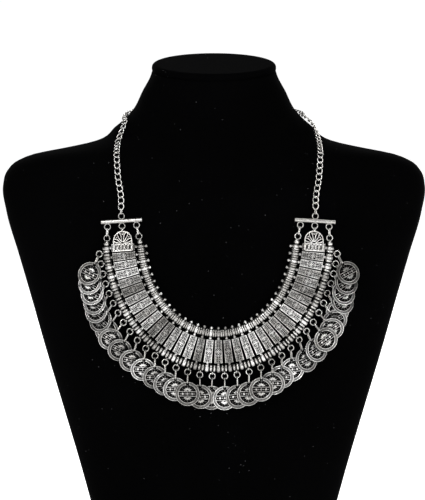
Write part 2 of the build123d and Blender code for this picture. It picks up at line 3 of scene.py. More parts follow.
import bmesh
import bpy
import numpy as np
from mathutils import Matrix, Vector


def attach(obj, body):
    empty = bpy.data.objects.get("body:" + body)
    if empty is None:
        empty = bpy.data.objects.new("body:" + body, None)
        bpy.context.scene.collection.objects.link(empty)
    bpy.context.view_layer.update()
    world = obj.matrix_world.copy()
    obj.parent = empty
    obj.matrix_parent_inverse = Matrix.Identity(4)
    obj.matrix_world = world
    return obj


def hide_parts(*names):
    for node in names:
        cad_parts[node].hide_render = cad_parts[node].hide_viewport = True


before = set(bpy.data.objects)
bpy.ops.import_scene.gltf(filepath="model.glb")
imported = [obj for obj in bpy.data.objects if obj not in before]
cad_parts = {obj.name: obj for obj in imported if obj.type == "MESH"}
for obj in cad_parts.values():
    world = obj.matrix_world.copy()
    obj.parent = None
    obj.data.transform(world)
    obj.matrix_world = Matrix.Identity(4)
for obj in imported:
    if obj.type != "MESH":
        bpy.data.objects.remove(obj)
for default_name in ("Cube", "Light", "Camera"):
    leftover = bpy.data.objects.get(default_name)
    if leftover is not None and default_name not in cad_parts:
        bpy.data.objects.remove(leftover)
bpy.context.view_layer.update()
scene = bpy.context.scene

# Sizes are in millimetres, as in the part's source, and become metres when a mesh is made.
# Materials, lights and the camera are in metres.
MM = 0.001
chance = np.random.default_rng(26)


# Values that are the same as in the part's source

bust_height = 349.0
shoulder_half_width = 159.7
chest_depth = 62.0
back_depth = 42.0
cap_thickness = 6.6
cap_overhang = 0.6
cap_tilt = math.radians(10.4)
cap_height = 346.7

bib_x = 3.3
bib_z = 152.2
string_height = 3.4
bead_bore_radius = 0.9
bead_gap = 0.12
string_slack = 0.15
plate_count = 35
fan_angle = 171.0
corner_bulge = 8.5

plate_reach = 26.4
plate_thickness = 1.4
plate_inner_width = 5.35
plate_outer_width = 6.45
plate_inner_ring_radius = 2.6
plate_outer_ring_radius = 2.9
plate_inner_ring_length = 2.45
plate_outer_ring_length = 2.55
plate_ball_radius = 1.1
plate_ball_offset = 3.9
plate_stalk_radius = 0.6
plate_foot = 4.9
plate_head = 22.3
plate_roll = math.radians(2.0)
roundel_length = 2.75
relief_height = 0.3

coin_radius = 9.0
coin_thickness = 1.0
coin_hole_radius = 1.1
coin_hole_offset = 7.4

wire_radius = 0.4
ring_radius = 2.2
filigree_ring_radius = 1.75
ring_slack = 0.15
solder_depth = 0.5
bar_radius = 1.5
bar_rise = 19.6
bar_height = 2.9
filigree_width = 14.8
filigree_length = 15.5
filigree_hole_edge = 1.6
filigree_foot_height = 6.2

chain_height = 4.5
chain_start_gap = 0.3
neck_chain_rise = 6.0
neck_chain_points = 10
clasp_length = 13.0

# Level sections of the bust: shares of its height, half width, front depth and back depth
bust_sections = np.array([
    (0.000, 0.560, 0.80, 0.98),
    (0.136, 0.641, 0.88, 1.00),
    (0.272, 0.728, 0.95, 1.00),
    (0.400, 0.810, 0.99, 1.00),
    (0.489, 0.864, 1.00, 1.00),
    (0.590, 0.927, 1.00, 1.00),
    (0.683, 0.985, 0.97, 0.99),
    (0.740, 1.000, 0.92, 0.97),
    (0.772, 0.978, 0.87, 0.95),
    (0.793, 0.929, 0.83, 0.94),
    (0.809, 0.836, 0.79, 0.94),
    (0.819, 0.722, 0.76, 0.94),
    (0.833, 0.579, 0.72, 0.94),
    (0.867, 0.465, 0.65, 0.95),
    (0.898, 0.392, 0.60, 0.97),
    (0.946, 0.335, 0.57, 1.00),
    (0.976, 0.300, 0.56, 1.02),
    (1.050, 0.294, 0.56, 1.05),
])

# The left chain's way up the chest, as x and z
chain_route = [(-68.9, 252.0), (-71.2, 267.0), (-72.3, 281.0), (-71.3, 294.5), (-67.4, 305.0)]

half_count = (plate_count - 1) // 2
inner_pitch = plate_inner_ring_length + roundel_length + 2 * bead_gap + string_slack
loop_offset = ring_radius + wire_radius - solder_depth
link_overlap = 2 * wire_radius + ring_slack


# The bust's surface, and the bib's layout on it

edge_share = 0.995
search_rounds = 8


def unit(vector):
    return vector / np.linalg.norm(vector)


def units(vectors):
    return vectors / np.linalg.norm(vectors, axis=1)[:, None]


def full_turns(count):
    """Angles evenly round a circle, from 0."""
    return np.linspace(0, 2 * math.pi, count, endpoint=False)


def running_lengths(points):
    """The length along a line of points up to each of them."""
    return np.concatenate([[0], np.cumsum(np.linalg.norm(np.diff(points, axis=0), axis=1))])


def smooth_between(places, values, at):
    """Numbers or points along a smooth curve that takes given values at given places."""
    slopes = np.gradient(values, places, axis=0)
    index = np.clip(np.searchsorted(places, at) - 1, 0, len(places) - 2)
    span = places[index + 1] - places[index]
    t = (at - places[index]) / span
    if values.ndim > 1:
        span, t = span[:, None], t[:, None]
    start, end = values[index], values[index + 1]
    from_start = (2 * t**3 - 3 * t**2 + 1) * start + (t**3 - 2 * t**2 + t) * span * slopes[index]
    from_end = (3 * t**2 - 2 * t**3) * end + (t**3 - t**2) * span * slopes[index + 1]
    return from_start + from_end


def bust_profile(column, size):
    """One column of the bust's sections, as a smooth function of height."""
    shares = np.linspace(0, bust_sections[-1, 0], 421)
    heights = shares * bust_height
    values = size * smooth_between(bust_sections[:, 0], bust_sections[:, column], shares)
    return lambda z: np.interp(z, heights, values)


half_width = bust_profile(1, shoulder_half_width)
front_depth = bust_profile(2, chest_depth)
back_reach = bust_profile(3, back_depth)


def chest_y(x, z):
    across = np.minimum(np.abs(x) / half_width(z), edge_share)
    return -front_depth(z) * np.sqrt(1 - across**2)


def chest_slopes(x, z):
    along_x = (chest_y(x + 1, z) - chest_y(x - 1, z)) / 2
    along_z = (chest_y(x, z + 1) - chest_y(x, z - 1)) / 2
    return along_x, along_z


def chest_normal(point):
    along_x, along_z = chest_slopes(point[0], point[2])
    return unit(np.array([along_x, -1.0, along_z]))


def on_chest(x, z, height):
    """The point in front of x and z that stands a height above the chest's surface."""
    along_x, along_z = chest_slopes(x, z)
    return np.array([x, chest_y(x, z) - height * math.sqrt(1 + along_x**2 + along_z**2), z])


def step_on_chest(start, across, up, distance, height):
    """The point at a true distance from start, in a direction as seen from the front."""
    reach = distance
    for _ in range(search_rounds):
        point = on_chest(start[0] + reach * across, start[2] + reach * up, height)
        reach *= distance / np.linalg.norm(point - start)
    return point


def plate_angle(index):
    share = (index - half_count) / half_count
    return math.radians(fan_angle / 2 * share + corner_bulge * math.sin(math.pi * share))


def lay_inner_points():
    """The plates' places on the inner string, laid from the lowest one to both sides."""
    points = {half_count: on_chest(bib_x, bib_z, string_height)}
    for side in (-1, 1):
        for count in range(1, half_count + 1):
            index = half_count + side * count
            before = points[index - side]
            turn = (plate_angle(index) + plate_angle(index - side)) / 2
            across, up = side * math.cos(turn), side * math.sin(turn)
            points[index] = step_on_chest(before, across, up, inner_pitch, string_height)
    return [points[index] for index in range(plate_count)]


def outer_point(index):
    """A plate's place on the outer string."""
    across, up = math.sin(plate_angle(index)), -math.cos(plate_angle(index))
    return step_on_chest(inner_points[index], across, up, plate_reach, string_height)


def bar_axes(side):
    """A bar's centre, right, up and outward directions."""
    index = 0 if side < 0 else plate_count - 1
    inner, outer = inner_points[index], outer_points[index]
    base = (inner + outer) / 2
    normal = chest_normal(base)
    up = side * unit(np.cross(normal, outer - inner))
    centre = step_on_chest(base, up[0], up[2], bar_rise, bar_height)
    normal = chest_normal(centre)
    up = unit(up - normal * up.dot(normal))
    return centre, np.cross(up, normal), up, normal


inner_points = lay_inner_points()
outer_points = [outer_point(index) for index in range(plate_count)]


# Meshes

def make_piece(name, vertices, faces, material, replaced, slot):
    """A smooth mesh piece from millimetre vertices, riding on the frame in a CAD node's place."""
    mesh = bpy.data.meshes.new(name)
    face_lists = [list(map(int, face)) for face in faces]
    mesh.from_pydata((vertices * MM).tolist(), [], face_lists)
    mesh.validate()
    mesh.update()
    mesh.polygons.foreach_set("use_smooth", [True] * len(mesh.polygons))
    mesh.materials.append(material)
    piece = bpy.data.objects.new(name, mesh)
    scene.collection.objects.link(piece)
    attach(piece, "root")
    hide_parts(replaced)
    return piece


def add_values(piece, name, values):
    """One number for each vertex, which the material reads by its name."""
    attribute = piece.data.attributes.new(name, "FLOAT", "POINT")
    attribute.data.foreach_set("value", values)


def turn_faces_out(piece):
    mesh = bmesh.new()
    mesh.from_mesh(piece.data)
    bmesh.ops.recalc_face_normals(mesh, faces=mesh.faces[:])
    mesh.to_mesh(piece.data)
    mesh.free()


def grid_faces(rows, columns, wrap):
    """Quads between rows of equal vertex count, closed round each row if wrap."""
    faces = []
    for row in range(rows - 1):
        low, high = row * columns, (row + 1) * columns
        for column in range(columns if wrap else columns - 1):
            after = (column + 1) % columns
            faces.append((low + column, low + after, high + after, high + column))
    return faces


def tube_faces(rows, columns, closed):
    """Quads round a tube, whose last row meets its first if closed and is capped if not."""
    faces = grid_faces(rows, columns, True)
    last = (rows - 1) * columns
    if closed:
        for column in range(columns):
            after = (column + 1) % columns
            faces.append((last + column, last + after, after, column))
    else:
        faces.append(tuple(range(columns))[::-1])
        faces.append(tuple(range(last, last + columns)))
    return faces


def fanned_faces(rows, columns):
    """Quads between closed rows, and fans to the two middle points that follow the last row."""
    faces = grid_faces(rows, columns, True)
    last, middle = (rows - 1) * columns, rows * columns
    for column in range(columns):
        after = (column + 1) % columns
        faces.append((middle, after, column))
        faces.append((middle + 1, last + column, last + after))
    return faces


def combine(parts):
    """Vertices and faces of several meshes as one."""
    vertices, faces, start = [], [], 0
    for part_vertices, part_faces in parts:
        vertices.append(part_vertices)
        faces += [tuple(index + start for index in face) for face in part_faces]
        start += len(part_vertices)
    return np.concatenate(vertices), faces


def to_place(vertices, origin, x_dir, z_dir):
    """Vertices moved so that their X and Z axes lie along two directions."""
    y_dir = np.cross(z_dir, x_dir)
    return origin + vertices @ np.array([x_dir, y_dir, z_dir])


def turned(profile, sides):
    """Rings of points about the Y axis, from the height and radius of each."""
    turns = full_turns(sides)
    rings = [[r * np.cos(turns), 0 * turns + y, r * np.sin(turns)] for y, r in profile]
    return np.array(rings).transpose(0, 2, 1).reshape(-1, 3)


def ball(radius, centre_y, rings=8, sides=14):
    """A round ball on the Y axis."""
    bends = [math.pi * ring / rings for ring in range(1, rings)]
    profile = [(-radius * math.cos(bend), radius * math.sin(bend)) for bend in bends]
    vertices = np.concatenate([turned(profile, sides), [[0, -radius, 0], [0, radius, 0]]])
    return vertices + [0, centre_y, 0], fanned_faces(len(profile), sides)


# Materials

def start_material(name, **settings):
    material = bpy.data.materials.new(name)
    material.use_nodes = True
    tree = material.node_tree
    shader = tree.nodes["Principled BSDF"]
    for socket, value in settings.items():
        shader.inputs[socket.replace("_", " ")].default_value = value
    return material, tree, shader


def add(tree, kind, inputs=None, **settings):
    """A node with its settings, and its inputs given as numbers, colours or other sockets."""
    node = tree.nodes.new(kind)
    for key, value in settings.items():
        setattr(node, key, value)
    for socket, value in (inputs or {}).items():
        if isinstance(value, bpy.types.NodeSocket):
            tree.links.new(value, node.inputs[socket])
        else:
            node.inputs[socket].default_value = value
    return node


def ramp(tree, value, low, high, from_colour=(0, 0, 0, 1), to_colour=(1, 1, 1, 1)):
    """A smooth change from one colour to another as a value goes from low to high."""
    node = add(tree, "ShaderNodeValToRGB", {"Fac": value})
    node.color_ramp.interpolation = "EASE"
    first, last = node.color_ramp.elements
    first.position, last.position = low, high
    first.color, last.color = from_colour, to_colour
    return node.outputs["Color"]


def own_place(tree):
    """The place of a point in its own object."""
    return add(tree, "ShaderNodeTexCoord").outputs["Object"]


def noise(tree, scale, detail=2.0, roughness=0.5, distortion=0.0):
    settings = {
        "Vector": own_place(tree),
        "Scale": scale,
        "Detail": detail,
        "Roughness": roughness,
        "Distortion": distortion,
    }
    return add(tree, "ShaderNodeTexNoise", settings).outputs["Fac"]


def mix_colour(tree, share, first, second, blend="MIX"):
    inputs = {0: share, 6: first, 7: second}
    node = add(tree, "ShaderNodeMix", data_type="RGBA", blend_type=blend, inputs=inputs)
    return node.outputs[2]


def between(tree, value, low, high):
    """A number that goes from low to high with a value from 0 to 1."""
    node = add(tree, "ShaderNodeMapRange", {"Value": value, "To Min": low, "To Max": high})
    return node.outputs["Result"]


def own_value(tree, name):
    node = add(tree, "ShaderNodeAttribute", attribute_name=name, attribute_type="GEOMETRY")
    return node.outputs["Fac"]


def add_bump(tree, shader, height, strength, depth):
    bump = add(tree, "ShaderNodeBump", {"Height": height, "Strength": strength, "Distance": depth})
    tree.links.new(bump.outputs["Normal"], shader.inputs["Normal"])


def grey(level, warmth=0.0):
    return (level * (1 + warmth), level, level * (1 - 1.6 * warmth), 1.0)


def silver(
    name, bright, dark, smooth, rough, hollow, cavity, uneven=0.9, rubbed=None, grain=0.12
):
    """Cast silver: dark in hollows, rubbed bright on high places, finely grained.

    A place is darkened where its openness over the distance hollow is low in the range cavity.
    This is patina on the antiqued pieces and painted shade on the polished beads, chain and bars.
    uneven darkens whole regions at random, a painted shade for parts that lie in shadow,
    and rubbed is the grey of pieces with high wear values.
    """
    material, tree, shader = start_material(name, Metallic=1.0)
    tone = ramp(tree, noise(tree, 160, detail=4), 0.35, 0.65)
    patina = ramp(tree, noise(tree, 900, detail=3, roughness=0.6), 0.3, 0.62)
    # Whole regions darker at random: painted shade, standing in for parts that lie in shadow.
    region = ramp(tree, noise(tree, 52, detail=1), 0.44, 0.6)
    metal = mix_colour(tree, tone, grey(bright, 0.012), grey(0.82 * bright, 0.03))
    metal = mix_colour(tree, region, metal, grey(uneven * bright, 0.03))
    # Darkening by openness over the distance hollow: patina on antiqued pieces, painted shade on
    # polished ones.
    openness = {"Distance": hollow * MM}
    shade = add(tree, "ShaderNodeAmbientOcclusion", openness, samples=6, only_local=True)
    shade_and_patina = ramp(tree, shade.outputs["AO"], *cavity)
    if rubbed is not None:
        wear = ramp(tree, own_value(tree, "wear"), 0.2, 1.0)
        metal = mix_colour(tree, wear, metal, grey(rubbed, 0.01))
        high = ramp(tree, own_value(tree, "relief"), 0.3, 1.0)
        shade_and_patina = mix_colour(tree, 1.0, shade_and_patina, high, "MULTIPLY")
    shade_and_stain = mix_colour(tree, 0.35, shade_and_patina, patina, "MULTIPLY")
    colour = mix_colour(tree, shade_and_stain, grey(dark, 0.02), metal)
    tree.links.new(colour, shader.inputs["Base Color"])
    fine = noise(tree, 2600, detail=3)
    dullness = between(tree, fine, smooth, rough)
    dull = add(tree, "ShaderNodeMix", {0: shade_and_stain, 2: rough + 0.2, 3: dullness})
    tree.links.new(dull.outputs[0], shader.inputs["Roughness"])
    add_bump(tree, shader, fine, grain, 0.05 * MM)
    return material


def velvet():
    """Matte black velvet: brushed patches, a fine nap and a little pale lint."""
    material, tree, shader = start_material(
        "black_velvet", Roughness=1.0, Specular_IOR_Level=0.008,
        Sheen_Weight=0.003, Sheen_Roughness=0.45, Sheen_Tint=(0.35, 0.35, 0.38, 1.0),
    )
    brushed = ramp(tree, noise(tree, 14, detail=4, distortion=0.6), 0.35, 0.7)
    nap = noise(tree, 2400, detail=3, roughness=0.7)
    pile = mix_colour(tree, brushed, (0.0002, 0.0002, 0.0002, 1), (0.0005, 0.0005, 0.0006, 1))
    pile = mix_colour(tree, ramp(tree, nap, 0.35, 0.75), pile, (0.001, 0.001, 0.0011, 1))
    cells = add(tree, "ShaderNodeTexVoronoi", {"Vector": own_place(tree), "Scale": 190.0})
    lint = ramp(tree, cells.outputs["Distance"], 0.035, 0.06, (1, 1, 1, 1), (0, 0, 0, 1))
    patches = ramp(tree, noise(tree, 22, detail=2), 0.46, 0.62)
    lint = mix_colour(tree, 1.0, lint, patches, "MULTIPLY")
    colour = mix_colour(tree, lint, pile, (0.1, 0.1, 0.105, 1))
    tree.links.new(colour, shader.inputs["Base Color"])
    add_bump(tree, shader, nap, 0.35, 0.15 * MM)
    return material


def black_thread():
    """Waxed black thread: fine twisted strands."""
    material, tree, shader = start_material("black_thread", Sheen_Weight=0.1)
    waves = {"Vector": own_place(tree), "Scale": 900.0, "Distortion": 1.5, "Detail": 2.0}
    twist = add(tree, "ShaderNodeTexWave", waves, bands_direction="DIAGONAL").outputs["Fac"]
    strand = ramp(tree, twist, 0.2, 0.8, (0.006, 0.006, 0.006, 1), (0.03, 0.03, 0.03, 1))
    tree.links.new(strand, shader.inputs["Base Color"])
    tree.links.new(between(tree, twist, 0.5, 0.8), shader.inputs["Roughness"])
    add_bump(tree, shader, twist, 1.0, 0.05 * MM)
    return material


antique_silver = silver(
    "antique_silver_cad",
    bright=0.9, dark=0.004, smooth=0.24, rough=0.42, hollow=0.7, cavity=(0.5, 0.95), uneven=0.8,
)
coin_silver = silver(
    "antique_silver_coins",
    bright=0.66, dark=0.004, smooth=0.2, rough=0.34, hollow=0.6, cavity=(0.35, 0.9), uneven=0.55,
    rubbed=0.98,
)
plate_silver = silver(
    "antique_silver_plates",
    bright=0.55, dark=0.003, smooth=0.24, rough=0.4, hollow=0.6, cavity=(0.4, 0.92), uneven=0.5,
    rubbed=0.8,
)
# The polished beads, bars and chain below are darkened in hollows and between parts: painted
# shade.
bead_silver = silver(
    "bright_silver_cad",
    bright=0.62, dark=0.003, smooth=0.16, rough=0.3, hollow=1.6, cavity=(0.68, 0.99), uneven=0.6,
    grain=0.06,
)
bar_silver = silver(
    "polished_silver",
    bright=0.48, dark=0.02, smooth=0.22, rough=0.34, hollow=1.0, cavity=(0.3, 0.85), grain=0.05,
)
chain_silver = silver(
    "chain_silver",
    bright=0.8, dark=0.006, smooth=0.16, rough=0.3, hollow=0.9, cavity=(0.5, 0.97), grain=0.06,
)
black_velvet = velvet()
slot_materials = {
    "antique_silver": antique_silver,
    "bright_silver": bead_silver,
    "thread": black_thread(),
    "velvet": black_velvet,
}
own_materials = dict.fromkeys(("bar_left", "bar_right", "clasp"), bar_silver)
own_materials["link_rings"] = chain_silver
for name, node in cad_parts.items():
    for material_slot in node.material_slots:
        if material_slot.material is not None:
            plain_name = material_slot.material.name.split(".")[0]
            by_slot = slot_materials.get(plain_name, material_slot.material)
            material_slot.material = own_materials.get(name, by_slot)


# Bust

bust_columns = 168
bust_levels = 170
base_edge = 1.6
base_edge_rows = 5
cap_edge = 0.45 * cap_thickness
cap_search_rounds = 12


def section_point(turn, z, inset=0.0):
    """A point of a level section; turn 0 is towards +X and a quarter turn is the back."""
    depth = np.where(np.sin(turn) >= 0, back_reach(z), front_depth(z))
    x = (half_width(z) - inset) * np.cos(turn)
    y = (depth - inset) * np.sin(turn)
    return np.stack([x, y, z + 0 * turn], axis=-1)


def cap_profile(seam, wide):
    """The cap from its seam to near its middle, as insets from its edge and lifts."""
    profile = []
    for bend in np.linspace(-seam * 0.9, math.pi / 2, 9):
        lift = cap_edge * math.sin(bend) + math.copysign(cap_thickness / 2 - cap_edge, bend)
        profile.append((cap_edge * (1 - math.cos(bend)), lift))
    for inset in np.linspace(cap_edge + 1.5, wide - 2.0, 16):
        profile.append((inset, cap_thickness / 2 * 0.99))
    return profile


def make_bust():
    """The bust in rows of points: its rounded foot, its body up to the cap, and the cap."""
    turns = full_turns(bust_columns)
    front, back = front_depth(cap_height), back_reach(cap_height)
    cap_centre = np.array([0.0, (back - front) / 2, cap_height])
    cap_up = np.array([0.0, -math.sin(cap_tilt), math.cos(cap_tilt)])
    cap_back = np.array([0.0, math.cos(cap_tilt), math.sin(cap_tilt)])
    seam = math.acos(1 - cap_overhang / cap_edge)
    seam_depth = cap_thickness / 2 - cap_edge + cap_edge * math.sin(seam)
    tops = np.full(bust_columns, cap_height)
    for _ in range(cap_search_rounds):
        behind = section_point(turns, tops)[:, 1] - cap_centre[1]
        tops = cap_height + (behind * math.sin(cap_tilt) - seam_depth) / math.cos(cap_tilt)
    rows = []
    for step in reversed(range(base_edge_rows)):
        bend = step / (base_edge_rows - 1) * math.pi / 2
        z = np.full(bust_columns, base_edge * (1 - math.sin(bend)))
        rows.append(section_point(turns, z, inset=base_edge * (1 - math.cos(bend))))
    for level in range(1, bust_levels + 1):
        share = level / bust_levels
        rows.append(section_point(turns, base_edge + share * (tops - base_edge)))
    wide, deep = half_width(cap_height) + cap_overhang, (back + front) / 2 + cap_overhang
    for inset, lift in cap_profile(seam, wide):
        shrink = deep / wide if inset > 2 * cap_edge else 1
        across = np.outer(max(wide - inset, 1.0) * np.cos(turns), [1, 0, 0])
        along = np.outer(max(deep - inset * shrink, 0.8) * np.sin(turns), cap_back)
        rows.append(cap_centre + across + along + lift * cap_up)
    faces = fanned_faces(len(rows), bust_columns)
    vertices = np.concatenate(rows + [[rows[0].mean(axis=0)], [rows[-1].mean(axis=0)]])
    make_piece("neck_bust", vertices, faces, black_velvet, "display_bust", "velvet")


make_bust()


# Relief, as heights above a field. A line or pellet has a half width or radius, and a height.

cast_grain = 0.006


def ridge(distance, reach, height):
    """A rounded raised line or pellet, from the distance to its middle."""
    return height * np.sqrt(np.clip(1 - (distance / reach) ** 2, 0, 1))


def highest(*reliefs):
    return np.maximum.reduce(reliefs)


# Coins

coin_turns = 150
coin_radii = np.array(
    [0.5, 0.9, 1.2, 1.4, 1.58, 1.78, 2.0, 2.3, 2.6, 2.95, 3.3, 3.65, 4.0, 4.35, 4.7, 5.05]
    + [5.4, 5.75, 6.05, 6.3, 6.5, 6.68, 6.8, 6.94, 7.08, 7.2, 7.3, 7.4, 7.5, 7.62, 7.74]
    + [7.86, 7.98, 8.12, 8.3, 8.42, 8.54, 8.64, 8.74, 8.84, 8.93, 9.0]
)
coin_bevel = 0.12
coin_hole_bevel = 0.1
coin_back_wear = 0.7
coin_field_z = coin_thickness / 2 - relief_height
hole_centre = np.array([0.0, coin_hole_offset])

rim_radius = 8.74
inner_ring_radius = 6.94
grooved_ring_radius = 7.82
groove_count = 50
field_radius = 6.75
band_half_width = 1.72
lozenge_centres = (-3.6, 0.0, 3.6)
pellet_centres = (-1.8, 1.8, -5.4, 5.4)
leaf_root = 2.2
leaf_leans = (-68, -35, 0, 35, 68)


def leaf_relief(x, y, lean):
    """A veined leaf with a pellet beyond its tip, leaning from +Y about its root at the origin."""
    angle = math.radians(lean)
    along = y * math.cos(angle) + x * math.sin(angle)
    across = x * math.cos(angle) - y * math.sin(angle)
    half_length = 1.65 if abs(lean) < 50 else 1.9
    inside = 1 - ((along - half_length) / (0.86 * half_length)) ** 2 - (across / 0.55) ** 2
    vein = 1 - 0.6 * np.exp(-((across / 0.12) ** 2))
    leaf = relief_height * np.sqrt(np.clip(inside, 0, 1)) * vein
    from_tip = np.hypot(along - 2.06 * half_length - 0.3, across)
    return highest(leaf, ridge(from_tip, 0.3, 0.22))


def coin_height(x, y):
    """Relief over a coin: rims, a grooved ring, and leaves above and below a band of lozenges."""
    r, turn = np.hypot(x, y), np.arctan2(x, y)
    groove = (turn * groove_count / (2 * math.pi) + 0.5) % 1 - 0.5
    grooved = 0.13 + 0.05 * np.cos(groove * 2 * math.pi)
    field = [ridge(np.abs(y) - band_half_width, 0.22, 0.28)]
    for centre in lozenge_centres:
        spread = np.abs(x - centre) + np.abs(y)
        slope = relief_height * np.clip((1.2 - spread) / 0.4, 0, 1)
        field.append(slope * (1 - 0.8 * np.exp(-((spread / 0.35) ** 2))))
    for centre in pellet_centres:
        field.append(ridge(np.hypot(x - centre, y), 0.42, 0.27))
    for side in (-1, 1):
        for lean in leaf_leans:
            field.append(leaf_relief(x, (y - leaf_root * side) * side, lean))
    return highest(
        ridge(r - rim_radius, 0.27, relief_height),
        ridge(r - inner_ring_radius, 0.27, relief_height),
        grooved * (np.abs(r - grooved_ring_radius) < 0.4),
        highest(*field) * (r < field_radius),
    )


def open_coin_front(mesh):
    """The coin's front, flat, with an open round hole."""
    radius, turn = np.meshgrid(coin_radii, full_turns(coin_turns), indexing="ij")
    rings = np.stack([radius * np.sin(turn), radius * np.cos(turn)], axis=-1)
    flat = np.concatenate([rings.reshape(-1, 2), [[0.0, 0.0]]])
    faces = grid_faces(len(coin_radii), coin_turns, True)
    middle = len(flat) - 1
    faces += [(middle, (column + 1) % coin_turns, column) for column in range(coin_turns)]
    front = [mesh.verts.new((x, y, 0.0)) for x, y in flat]
    for face in faces:
        if np.linalg.norm(flat[list(face)].mean(axis=0) - hole_centre) > coin_hole_radius:
            mesh.faces.new([front[index] for index in face[::-1]])
    for vertex in [vertex for vertex in mesh.verts if not vertex.link_faces]:
        mesh.verts.remove(vertex)
    bmesh.ops.recalc_face_normals(mesh, faces=mesh.faces[:])
    for edge in mesh.edges:
        if edge.is_boundary:
            for vertex in edge.verts:
                away = np.array(vertex.co[:2]) - hole_centre
                if np.linalg.norm(away) < 2 * coin_hole_radius:
                    vertex.co.x, vertex.co.y = hole_centre + unit(away) * coin_hole_radius


def raise_coin_relief(mesh):
    """The front's relief, with a low lip round the hole."""
    places = np.array([vertex.co[:2] for vertex in mesh.verts])
    heights = coin_height(places[:, 0], places[:, 1])
    from_hole = np.linalg.norm(places - hole_centre, axis=1) - coin_hole_radius
    heights = heights * np.clip((from_hole - 0.1) / 0.35, 0, 1)
    heights = heights + ridge(from_hole - 0.28, 0.26, 0.12)
    heights = np.clip(heights + chance.normal(0, cast_grain, len(heights)), 0, relief_height)
    for vertex, height in zip(mesh.verts, heights):
        vertex.co.z = coin_field_z + height


def extrude_edges(mesh, edges):
    """The new vertices and edges of a wall that is drawn out of some edges."""
    made = bmesh.ops.extrude_edge_only(mesh, edges=edges)["geom"]
    vertices = [item for item in made if isinstance(item, bmesh.types.BMVert)]
    return vertices, [item for item in made if isinstance(item, bmesh.types.BMEdge)]


def close_coin_back(mesh):
    """The coin's sides, bevelled back edge and flat back."""
    boundary = [edge for edge in mesh.edges if edge.is_boundary]
    lower_vertices, lower_edges = extrude_edges(mesh, boundary)
    for vertex in lower_vertices:
        vertex.co.z = -coin_thickness / 2 + coin_bevel
    back_vertices, back_edges = extrude_edges(mesh, lower_edges)
    for vertex in back_vertices:
        place = np.array(vertex.co[:2])
        away = place - hole_centre
        distance = np.linalg.norm(away)
        if distance < 2 * coin_hole_radius:
            place = hole_centre + away * (1 + coin_hole_bevel / distance)
        else:
            place = place * (1 - coin_bevel / coin_radius)
        vertex.co = (*place, -coin_thickness / 2)
    bmesh.ops.triangle_fill(mesh, use_beauty=True, edges=back_edges)
    bmesh.ops.recalc_face_normals(mesh, faces=mesh.faces[:])


def make_coin_mesh():
    """One coin, its hole towards +Y and its face towards +Z, and its relief from 0 to 1."""
    mesh = bmesh.new()
    open_coin_front(mesh)
    raise_coin_relief(mesh)
    close_coin_back(mesh)
    mesh.verts.index_update()
    vertices = np.array([vertex.co[:] for vertex in mesh.verts])
    faces = [[vertex.index for vertex in face.verts] for face in mesh.faces]
    mesh.free()

    # The fill gives the back's triangles in no fixed order, so all faces are put in one
    for number, face in enumerate(faces):
        if len(face) == 3:
            lowest = face.index(min(face))
            faces[number] = face[lowest:] + face[:lowest]
    faces.sort()
    relief = np.clip((vertices[:, 2] - coin_field_z) / (0.8 * relief_height), 0, 1)
    relief[vertices[:, 2] < coin_field_z - 0.01] = coin_back_wear
    return vertices, faces, relief


def read(items, name, width):
    """A value of each vertex or face of a mesh, as rows of width numbers."""
    values = np.empty(width * len(items))
    items.foreach_get(name, values)
    return values.reshape(-1, width)


def coin_place(mesh):
    """A coin's centre in millimetres, and its right and face directions, from its CAD mesh."""
    normals, areas = read(mesh.polygons, "normal", 3), read(mesh.polygons, "area", 1)
    centres, points = read(mesh.polygons, "center", 3) / MM, read(mesh.vertices, "co", 3) / MM
    face = np.linalg.eigh((normals * areas).T @ normals)[1][:, 2]
    face = face if face[1] < 0 else -face
    right = unit(np.cross(face, [0.0, 0.0, -1.0]))
    centre = np.zeros(3)
    for axis in (face, right, np.cross(face, right)):
        reach = points @ axis
        centre = centre + axis * (reach.min() + reach.max()) / 2

    # The hole makes the back's middle lie off the coin's centre, away from the hole
    backs = normals @ face < -0.9
    back_centre = (centres[backs] * areas[backs]).sum(axis=0) / areas[backs].sum()
    up = centre - back_centre
    up = unit(up - face * up.dot(face))
    return centre, np.cross(up, face), face


def make_coins():
    vertices, faces, relief = make_coin_mesh()
    for name in sorted(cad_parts):
        if name.startswith("coin_") and not name.startswith("coin_rings"):
            placed = to_place(vertices, *coin_place(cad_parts[name].data))
            relief_name = name + "_relief"
            piece = make_piece(relief_name, placed, faces, coin_silver, name, "antique_silver")
            add_values(piece, "relief", relief)
            add_values(piece, "wear", np.full(len(vertices), chance.uniform()))


make_coins()


# Plates

plate_columns = 30
plate_rows = 92
edge_column = 0.94
edge_drop = 0.45
relief_width = 5.9
border_offset = 2.5
field_half_width = 2.3
bar_offset = 5.55
scroll_offsets = (1.75, 4.05)
scroll_aside = 1.32
lozenge_half_width = 2.2
lozenge_half_length = 3.3
corner_aside = 1.85
corner_along = 2.75
neck_half_width = 0.8
neck_half_depth = 0.7
stalk_start = 1.2


def plate_width(y):
    share = (y - plate_foot) / (plate_head - plate_foot)
    return plate_inner_width + share * (plate_outer_width - plate_inner_width)


def scroll_relief(x, y):
    """An open round scroll about a pellet, with a smaller pellet at its outer corner."""
    r = np.hypot(x, y)
    opening = (np.abs(np.arctan2(y + 0.2, -x)) < 0.55) & (r > 0.5)
    corner = ridge(np.hypot(x - 0.95, y - 1.0), 0.3, 0.24)
    return highest(ridge(r - 0.78, 0.22, 0.29) * ~opening, ridge(r, 0.36, 0.28), corner)


